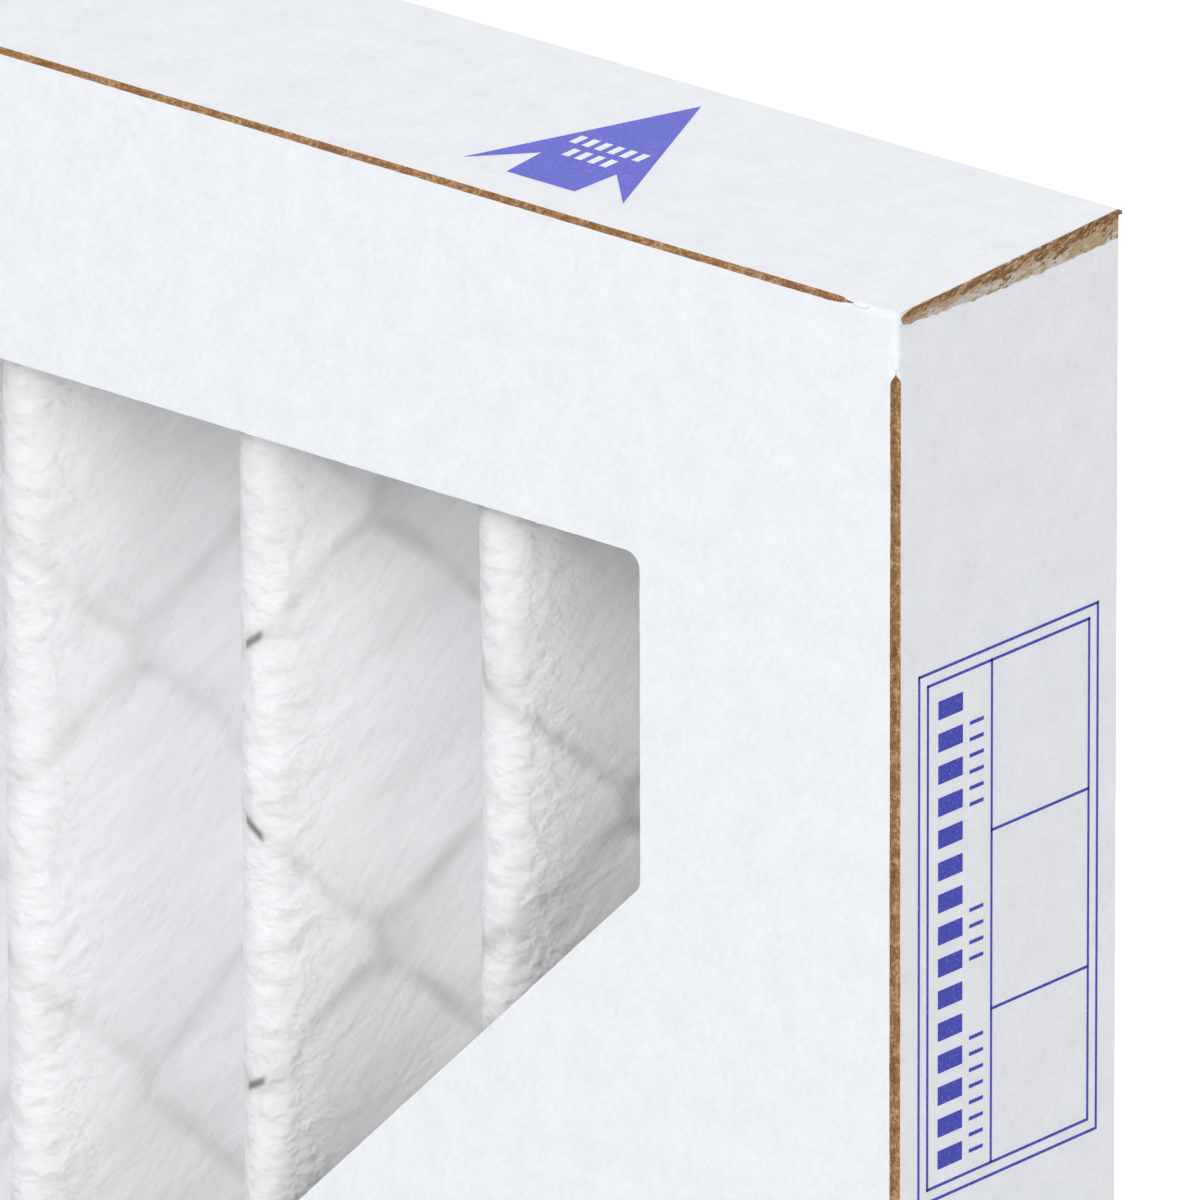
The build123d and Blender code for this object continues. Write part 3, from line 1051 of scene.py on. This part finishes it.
def loose_fibre_tree(material):
    """Geometry nodes that strew fine fibres over the ridges of a felt."""
    tree, start, end = new_group("loose fibres", "GeometryNodeTree", {
        "Geometry": "Geometry", "Felt": "Object", "Density": "Float", "Length": "Float",
        "Width": "Float", "Full Depth": "Float", "Last Depth": "Float", "Board Back": "Float",
        "Seed": "Int"}, {"Geometry": "Geometry"})
    node, calc = partial(add_node, tree), partial(maths, tree)

    fibre = node("GeometryNodeMeshCone", {
        "Vertices": 3, "Side Segments": 1, "Fill Segments": 1, "Radius Top": 0.0,
        "Radius Bottom": calc("MULTIPLY", start["Width"], 0.5), "Depth": start["Length"]})
    lying = node("GeometryNodeTransform", {
        "Geometry": fibre, "Rotation": (0.0, math.radians(76), 0.0)})
    felt = node("GeometryNodeObjectInfo", {"Object": start["Felt"]})
    spot = parts_of(tree, node("GeometryNodeInputPosition"))
    thinned = node("ShaderNodeMapRange", {
        "Value": spot["Y"], "From Min": start["Last Depth"], "From Max": start["Full Depth"]})
    points = node("GeometryNodeDistributePointsOnFaces", {
        "Mesh": felt.outputs["Geometry"], "Seed": start["Seed"],
        "Density": calc("MULTIPLY", start["Density"], thinned)})
    turn = node("FunctionNodeRandomValue", {2: 0.0, 3: 2 * math.pi, "Seed": start["Seed"]})
    euler = node("ShaderNodeCombineXYZ", {2: turn.outputs[1]})
    turned = node("FunctionNodeEulerToRotation", {0: euler})
    aligned = node("FunctionNodeRotateRotation", {
        0: points.outputs["Rotation"], 1: turned}, rotation_space="LOCAL")
    size = node("FunctionNodeRandomValue", {
        2: 0.45, 3: 1.35, "Seed": calc("ADD", start["Seed"], 1.0)})
    copies = node("GeometryNodeInstanceOnPoints", {
        "Points": points.outputs["Points"], "Instance": lying, "Rotation": aligned,
        "Scale": size.outputs[1]})
    real = node("GeometryNodeRealizeInstances", {"Geometry": copies})

    # No fibre reaches through the board in front of the ridges
    place = parts_of(tree, node("GeometryNodeInputPosition"))
    held = node("ShaderNodeCombineXYZ", {
        0: place["X"], 1: calc("MAXIMUM", place["Y"], start["Board Back"]), 2: place["Z"]})
    kept = node("GeometryNodeSetPosition", {"Geometry": real, "Position": held})
    finished = node("GeometryNodeSetMaterial", {"Geometry": kept, "Material": material})
    tree.links.new(finished.outputs[0], end["Geometry"])
    return tree


class FILTER_OT_loose_fibres(bpy.types.Operator):
    """Strew loose fibres over the ridges of the felt"""
    bl_idname = "filter.loose_fibres"
    bl_label = "Loose fibres"

    def execute(self, context):
        settings = context.scene.air_filter.felt
        mesh = applied_nodes("felt_fibres", loose_fibre_tree(loose_fibre(settings)), {
            "Felt": bpy.data.objects["felt"], "Density": settings.fibres / MM ** 2,
            "Length": settings.fibre, "Width": settings.fibre_width,
            "Full Depth": FRONT + 1.3 * MM, "Last Depth": FRONT + 4.6 * MM,
            "Board Back": FRONT + BOARD + 0.01 * MM, "Seed": 4})
        if not mesh.polygons:
            raise RuntimeError("the felt has no loose fibres")
        finish_piece(link_mesh("felt_fibres", mesh), "felt")
        return {"FINISHED"}


def fold_line_object():
    """The line that the steel follows behind the felt, as a curve from one end to the other."""
    places, normals, _, _ = pleated_line(8, 6)
    offset = FELT / 2 + STEEL / 2
    curve = bpy.data.curves.new("fold line", "CURVE")
    curve.dimensions = "3D"
    spline = curve.splines.new("POLY")
    spline.points.add(len(places) - 1)
    for point, place, normal in zip(spline.points, places, normals):
        point.co = (place[0] - normal[0] * offset, place[1] - normal[1] * offset, 0.0, 1.0)
    piece = bpy.data.objects.new("fold line", curve)
    bpy.context.scene.collection.objects.link(piece)
    return piece


def expanded_steel_tree(material):
    """Geometry nodes that lay out flat expanded steel and fold it along a line."""
    lengths = ("Across", "Along", "Knuckle", "Strand", "Thickness", "Start", "Unfolded", "Bottom",
               "Top", "First Height")
    tree, start, end = new_group("expanded steel", "GeometryNodeTree", {
        "Geometry": "Geometry", "Fold Line": "Object", "Columns": "Int", "Rows": "Int",
        **dict.fromkeys(lengths, "Float")}, {"Geometry": "Geometry"})
    node, calc = partial(add_node, tree), partial(maths, tree)

    def combine(x=0.0, y=0.0, z=0.0):
        return node("ShaderNodeCombineXYZ", {0: x, 1: y, 2: z})

    # One strand rises from a knuckle to the next column, drawn as a flat wire
    half_knuckle = calc("MULTIPLY", start["Knuckle"], 0.5)
    rise = calc("SUBTRACT", start["Along"], half_knuckle)
    strand = node("GeometryNodeCurvePrimitiveLine", {
        "Start": combine(0.0, half_knuckle), "End": combine(start["Across"], rise)})
    strand = node("GeometryNodeResampleCurve", {"Curve": strand, "Count": 6})
    bond = node("GeometryNodeCurvePrimitiveLine", {
        "Start": combine(0.0, calc("MULTIPLY", half_knuckle, -1.0)),
        "End": combine(0.0, half_knuckle)})
    falling = node("GeometryNodeTransform", {"Geometry": strand, "Scale": (1.0, -1.0, 1.0)})
    cell = node("GeometryNodeJoinGeometry")
    for part in (strand, falling, bond):
        tree.links.new(part.outputs[0], cell.inputs[0])
    section = node("GeometryNodeCurvePrimitiveQuadrilateral", {
        "Width": start["Strand"], "Height": start["Thickness"]})
    wire = node("GeometryNodeCurveToMesh", {"Curve": cell, "Profile Curve": section,
                                            "Fill Caps": True})

    # Knuckles stand in columns, every second column half a pitch higher
    grid = node("GeometryNodeMeshLine", {
        "Count": calc("MULTIPLY", start["Columns"], start["Rows"]), "Offset": (0.0, 0.0, 0.0)})
    index = node("GeometryNodeInputIndex")
    column = calc("FLOOR", calc("DIVIDE", calc("ADD", index, 0.5), start["Rows"]))
    row = calc("SUBTRACT", index, calc("MULTIPLY", column, start["Rows"]))
    parity = calc("FLOORED_MODULO", column, 2.0)
    half_pitches = calc("ADD", calc("MULTIPLY", row, 2.0), parity)
    place = combine(
        calc("ADD", start["Start"], calc("MULTIPLY", column, start["Across"])),
        calc("ADD", start["First Height"], calc("MULTIPLY", half_pitches, start["Along"])))
    placed = node("GeometryNodeSetPosition", {"Geometry": grid, "Position": place})
    copies = node("GeometryNodeInstanceOnPoints", {"Points": placed, "Instance": wire})
    flat = node("GeometryNodeRealizeInstances", {"Geometry": copies})

    # Trim to the sheet, then fold each point along the line
    spot = parts_of(tree, node("GeometryNodeInputPosition"))
    beyond = calc("MAXIMUM",
                  calc("MAXIMUM", calc("LESS_THAN", spot["X"], 0.0),
                       calc("GREATER_THAN", spot["X"], start["Unfolded"])),
                  calc("MAXIMUM", calc("LESS_THAN", spot["Y"], start["Bottom"]),
                       calc("GREATER_THAN", spot["Y"], start["Top"])))
    trimmed = node("GeometryNodeDeleteGeometry", {"Geometry": flat, "Selection": beyond})
    line = node("GeometryNodeObjectInfo", {"Object": start["Fold Line"]})
    sample = node("GeometryNodeSampleCurve", {
        "Curves": line.outputs["Geometry"], "Length": spot["X"]},
        mode="LENGTH", use_all_curves=True)
    tangent = parts_of(tree, sample.outputs["Tangent"])
    outward = combine(calc("MULTIPLY", tangent["Y"], -1.0), tangent["X"])
    lifted = node("ShaderNodeVectorMath", {0: outward, "Scale": spot["Z"]}, operation="SCALE")
    folded = node("ShaderNodeVectorMath", {0: sample.outputs["Position"], 1: lifted},
                  operation="ADD")
    folded = node("ShaderNodeVectorMath", {
        0: folded, 1: combine(0.0, 0.0, spot["Y"])}, operation="ADD")
    bent = node("GeometryNodeSetPosition", {"Geometry": trimmed, "Position": folded})
    real = node("GeometryNodeRealizeInstances", {"Geometry": bent})
    finished = node("GeometryNodeSetMaterial", {"Geometry": real, "Material": material})
    tree.links.new(finished.outputs[0], end["Geometry"])
    return tree


def applied_nodes(name, tree, values):
    """Plain mesh made by a geometry node tree, its inputs set by name."""
    holder = bpy.data.objects.new(name, bpy.data.meshes.new(name))
    bpy.context.scene.collection.objects.link(holder)
    modifier = holder.modifiers.new(name, "NODES")
    modifier.node_group = tree
    for item in tree.interface.items_tree:
        if item.in_out == "INPUT" and item.name in values:
            modifier[item.identifier] = values[item.name]
    graph = bpy.context.evaluated_depsgraph_get()
    mesh = bpy.data.meshes.new_from_object(holder.evaluated_get(graph), depsgraph=graph)
    bpy.data.objects.remove(holder)
    mesh.name = name
    return mesh


class FILTER_OT_steel(bpy.types.Operator):
    """Make the expanded steel behind the felt"""
    bl_idname = "filter.steel"
    bl_label = "Expanded steel"

    def execute(self, context):
        settings = context.scene.air_filter.steel
        zero_s, zero_z = unfolded_zero(settings)
        line = fold_line_object()
        unfolded = line.data.splines[0].calc_length()
        scale = unfolded / pleated_line(8, 6)[2][-1]        # the steel's line to the felt's
        across = settings.across * scale
        columns_before = math.ceil(zero_s * scale / across) + 1
        columns_before += columns_before % 2                # the first column counts as even
        rows_below = math.ceil((zero_z - FELT_LOW.z) / (2 * settings.along)) + 1
        mesh = applied_nodes("expanded_steel", expanded_steel_tree(zinc_steel(settings)), {
            "Fold Line": line,
            "Columns": columns_before + math.ceil((unfolded - zero_s * scale) / across) + 1,
            "Rows": rows_below + math.ceil((FELT_HIGH.z - zero_z) / (2 * settings.along)) + 1,
            "Across": across, "Along": settings.along, "Knuckle": settings.knuckle,
            "Strand": settings.strand, "Thickness": settings.thickness,
            "Start": zero_s * scale - columns_before * across,
            "Unfolded": unfolded, "Bottom": FELT_LOW.z, "Top": FELT_HIGH.z,
            "First Height": zero_z - rows_below * 2 * settings.along})
        bpy.data.objects.remove(line)
        if not mesh.polygons:
            raise RuntimeError("the expanded steel has no faces")
        clean_solid(mesh, close=True)
        finish_piece(link_mesh("expanded_steel", mesh), "steel", "wire_backing")
        return {"FINISHED"}


class FILTER_OT_glue(bpy.types.Operator):
    """Finish the glue beads"""
    bl_idname = "filter.glue"
    bl_label = "Glue beads"

    def execute(self, context):
        finish = hot_glue()
        for name in ("glue_bottom", "glue_top", "glue_left", "glue_right"):
            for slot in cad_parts[name].material_slots:
                slot.material = finish
        return {"FINISHED"}


# ---------------------------------------------------------------- print

def ink_film(outlines, height):
    """Closed thin films of ink over flat outlines, in their own plane."""
    work = bmesh.new()
    for outline in outlines:
        below = [work.verts.new((x, y, 0.0)) for x, y in outline]
        above = [work.verts.new((x, y, height)) for x, y in outline]
        work.faces.new(above)
        work.faces.new(reversed(below))
        for number in range(len(outline)):
            following = (number + 1) % len(outline)
            work.faces.new((below[number], below[following], above[following], above[number]))
    bmesh.ops.triangulate(work, faces=work.faces)
    bmesh.ops.recalc_face_normals(work, faces=work.faces)
    mesh = bpy.data.meshes.new("film")
    work.to_mesh(mesh)
    work.free()
    return mesh


def block_row(count, along, across, gap, height):
    """Mesh of a row of plain blocks of ink, centred at its plane's origin."""
    pitch = along + gap
    middles = [(number - (count - 1) / 2) * pitch for number in range(count)]
    return ink_film([[(middle + x * along / 2, y * across / 2)
                      for x, y in ((-1, -1), (1, -1), (1, 1), (-1, 1))] for middle in middles],
                    height)


def joined(name, parts, *materials):
    """One piece from (mesh, matrix, material number) parts."""
    work = bmesh.new()
    for mesh, matrix, number in parts:
        mesh.transform(matrix)
        mesh.materials.clear()
        for _ in materials:
            mesh.materials.append(None)
        mesh.polygons.foreach_set("material_index", [number] * len(mesh.polygons))
        work.from_mesh(mesh)
        bpy.data.meshes.remove(mesh)
    mesh = bpy.data.meshes.new(name)
    work.to_mesh(mesh)
    work.free()
    return link_mesh(name, mesh, *materials)


class FILTER_OT_arrow(bpy.types.Operator):
    """Print the arrow on the top flap"""
    bl_idname = "filter.arrow"
    bl_label = "Arrow"

    def execute(self, context):
        settings = context.scene.air_filter
        film = settings.prints.film
        tilt = math.atan2(LIFT, BACK - FRONT)
        # The flap's plane, with its origin on the fold below the arrow's tip
        plane = (Matrix.Translation((HALF_WIDTH - 28.6 * MM, FRONT, TOP))
                 @ Matrix.Rotation(tilt, 4, "X"))
        half_head, half_shaft, half_notch = 5.85 * MM, 2.5 * MM, 2.75 * MM
        tip, barb, notch, base = 16.8 * MM, 3.35 * MM, 6.4 * MM, 3.1 * MM
        outline = [(0.0, tip), (-half_head, barb), (-half_notch, notch), (-half_shaft, base),
                   (half_shaft, base), (half_notch, notch), (half_head, barb)]
        parts = [(ink_film([outline], film), plane, 0)]
        for count, y in ((4, 7.3 * MM), (6, 9.0 * MM)):
            parts.append((block_row(count, 0.5 * MM, 1.1 * MM, 0.42 * MM, 1.5 * film),
                          plane @ Matrix.Translation((0.0, y, 0.0)), 1))
        piece = joined("flow_arrow", parts, printing_ink("arrow ink", settings.prints.arrow),
                       coated_board(settings.board))
        finish_piece(piece, "board")
        return {"FINISHED"}


def ruled_line(start, end, width, height):
    """Mesh of one straight line."""
    along = (Vector(end) - Vector(start)).normalized()
    side = Vector((-along.y, along.x)) * width / 2
    along = along * width / 2
    first, last = Vector(start) - along, Vector(end) + along
    return ink_film([[first - side, last - side, last + side, first + side]], height)


class FILTER_OT_date_form(bpy.types.Operator):
    """Print the date form on the right side flap"""
    bl_idname = "filter.date_form"
    bl_label = "Date form"

    def execute(self, context):
        settings = context.scene.air_filter.prints
        film = settings.film
        # On the flap, x runs to the back and y up, from the flap's top front corner
        plane = (Matrix.Translation((HALF_WIDTH, FRONT, TOP)) @ Matrix.Rotation(math.pi / 2, 4, "Z")
                 @ Matrix.Rotation(math.pi / 2, 4, "X"))
        line = 0.17 * MM
        near, far, high, low = 2.0 * MM, 17.4 * MM, -22.0 * MM, -53.6 * MM
        gap = 0.75 * MM
        divider = 8.25 * MM
        shelves = (-32.9 * MM, -43.6 * MM)
        parts = []

        def rule(start, end, width=line):
            parts.append((ruled_line(start, end, width, film), plane, 0))

        for inset in (0.0, gap):
            left, right, top, bottom = near + inset, far - inset, high - inset, low + inset
            rule((left, top), (right, top))
            rule((left, bottom), (right, bottom))
            rule((left, bottom), (left, top))
            rule((right, bottom), (right, top))
        rule((divider, low + gap), (divider, high - gap))
        for shelf in shelves:
            rule((divider, shelf), (far - gap, shelf))
        upward = Matrix.Rotation(math.pi / 2, 4, "Z")
        rows = [(15, 1.1 * MM, 2.1 * MM, 0.82 * MM, 4.7 * MM, -37.9 * MM)]
        rows += [(count, 0.22 * MM, 1.2 * MM, 0.75 * MM, 6.95 * MM, y * MM)
                 for count, y in ((8, -48.2), (4, -38.6), (6, -28.4))]
        for count, along, across, space, x, y in rows:
            parts.append((block_row(count, along, across, space, film),
                          plane @ Matrix.Translation((x, y, 0.0)) @ upward, 0))
        piece = joined("date_form", parts, printing_ink("form ink", settings.label))
        finish_piece(piece, "board")
        return {"FINISHED"}


# ---------------------------------------------------------------- stage

WHITE = (1.0, 1.0, 1.0, 1.0)


def seen_directly(tree):
    """Value socket that is 1 for camera, glossy and transmission rays."""
    path = tree.nodes.new("ShaderNodeLightPath").outputs
    return maths(tree, "MAXIMUM", path["Is Camera Ray"], maths(
        tree, "MAXIMUM", path["Is Glossy Ray"], path["Is Transmission Ray"]))


def pale_stage(settings):
    """Pale floor that reads as white to the camera and keeps the shadow."""
    material, tree, shader = new_material("pale floor", 0.8, 0.2)
    place = object_place(tree)
    dress(tree, shader, blend_colours(tree, noise_value(tree, place, 3.0),
                                      shaded(settings.floor, 0.99), shaded(settings.floor, 1.01)))
    away = add_node(tree, "ShaderNodeVectorMath", {0: place}, operation="LENGTH").outputs["Value"]
    glow = smooth_step(tree, away, 0.35, 1.4, 0.10, 0.5)
    shader.inputs["Emission Color"].default_value = WHITE
    tree.links.new(maths(tree, "MULTIPLY", seen_directly(tree), glow),
                   shader.inputs["Emission Strength"])
    return material


def pale_world(settings):
    """Even light from all round, white to the camera."""
    world = bpy.data.worlds.new("studio")
    bpy.context.scene.world = world
    world.use_nodes = True
    tree = world.node_tree
    tree.nodes.clear()
    light = add_node(tree, "ShaderNodeBackground", {"Color": (0.97, 0.985, 1.0, 1.0),
                                                    "Strength": settings.world})
    white = add_node(tree, "ShaderNodeBackground", {"Color": WHITE, "Strength": 1.0})
    mixed = add_node(tree, "ShaderNodeMixShader", {0: seen_directly(tree), 1: light,
                                                   2: white})
    end = tree.nodes.new("ShaderNodeOutputWorld")
    tree.links.new(mixed.outputs[0], end.inputs["Surface"])


def add_lamp(name, power, place, target, size, tint=(1.0, 1.0, 1.0)):
    """Square soft lamp at a place, aimed at a target."""
    lamp = bpy.data.lights.new(name, "AREA")
    lamp.energy = power
    lamp.size = size
    lamp.color = tint
    holder = bpy.data.objects.new(name, lamp)
    holder.location = place
    holder.rotation_euler = (Vector(target) - Vector(place)).to_track_quat("-Z", "Y").to_euler()
    bpy.context.scene.collection.objects.link(holder)


class FILTER_OT_stage(bpy.types.Operator):
    """Set the floor, the light and the camera"""
    bl_idname = "filter.stage"
    bl_label = "Floor, light and camera"

    def execute(self, context):
        settings = context.scene.air_filter.studio
        reach = 40.0
        floor = link_mesh("floor", mesh_from("floor", [
            (-reach, -reach, 0.0), (reach, -reach, 0.0), (reach, reach, 0.0),
            (-reach, reach, 0.0)], [(0, 1, 2, 3)]), pale_stage(settings))
        pale_world(settings)
        corner = (HALF_WIDTH, FRONT, TOP)
        cool = (0.965, 0.985, 1.0)
        add_lamp("key", settings.key, (0.3, -0.9, 1.7), corner, 0.9, cool)
        add_lamp("front", settings.front, (0.7, -1.2, 1.1), corner, 0.9, cool)
        add_lamp("fill", settings.fill, (2.6, -0.6, 0.9), corner, 1.2)
        add_lamp("rear", settings.rear, (-1.0, 1.9, 0.7), (0.0, 0.0, TOP / 2), 1.2)

        camera = bpy.data.cameras.new("camera")
        camera.sensor_fit = "HORIZONTAL"
        camera.sensor_width = 36.0
        camera.lens = 798.0
        camera.clip_end = 200.0
        holder = bpy.data.objects.new("camera", camera)
        azimuth, elevation, roll = (math.radians(angle) for angle in (40.966, 20.990, -0.167))
        turn = (Matrix.Rotation(azimuth, 4, "Z") @ Matrix.Rotation(math.pi / 2 - elevation, 4, "X")
                @ Matrix.Rotation(roll, 4, "Z"))
        offset = Vector((886.085, -1045.447, 509.008)) * MM
        holder.matrix_world = Matrix.Translation(Vector(corner) + offset) @ turn
        context.scene.collection.objects.link(holder)
        context.scene.camera = holder
        context.scene.view_settings.view_transform = "Standard"
        return {"FINISHED"}


class FILTER_PT_panel(bpy.types.Panel):
    """Lists the pieces of the filter"""
    bl_idname = "FILTER_PT_panel"
    bl_label = "Air filter"
    bl_space_type = "VIEW_3D"
    bl_region_type = "UI"
    bl_category = "Air filter"

    def draw(self, context):
        for operator in OPERATORS:
            self.layout.operator(operator.bl_idname)


SETTINGS = (BoardSettings, FeltSettings, SteelSettings, PrintSettings, StudioSettings,
            FilterSettings)
OPERATORS = (FILTER_OT_trays, FILTER_OT_torn_ends, FILTER_OT_curls, FILTER_OT_felt,
             FILTER_OT_loose_fibres, FILTER_OT_steel, FILTER_OT_glue, FILTER_OT_arrow,
             FILTER_OT_date_form, FILTER_OT_stage)


def register():
    """Register the settings, the operators and the panel."""
    for kind in (*SETTINGS, *OPERATORS, FILTER_PT_panel):
        bpy.utils.register_class(kind)
    bpy.types.Scene.air_filter = PointerProperty(type=FilterSettings)


def unregister():
    """Take them out again."""
    del bpy.types.Scene.air_filter
    for kind in (FILTER_PT_panel, *reversed(OPERATORS), *reversed(SETTINGS)):
        bpy.utils.unregister_class(kind)


def main():
    """Make every piece."""
    register()
    bpy.ops.filter.trays()
    bpy.ops.filter.torn_ends()
    bpy.ops.filter.curls()
    bpy.ops.filter.felt()
    bpy.ops.filter.loose_fibres()
    bpy.ops.filter.steel()
    bpy.ops.filter.glue()
    bpy.ops.filter.arrow()
    bpy.ops.filter.date_form()
    bpy.ops.filter.stage()


if __name__ == "__main__":
    main()
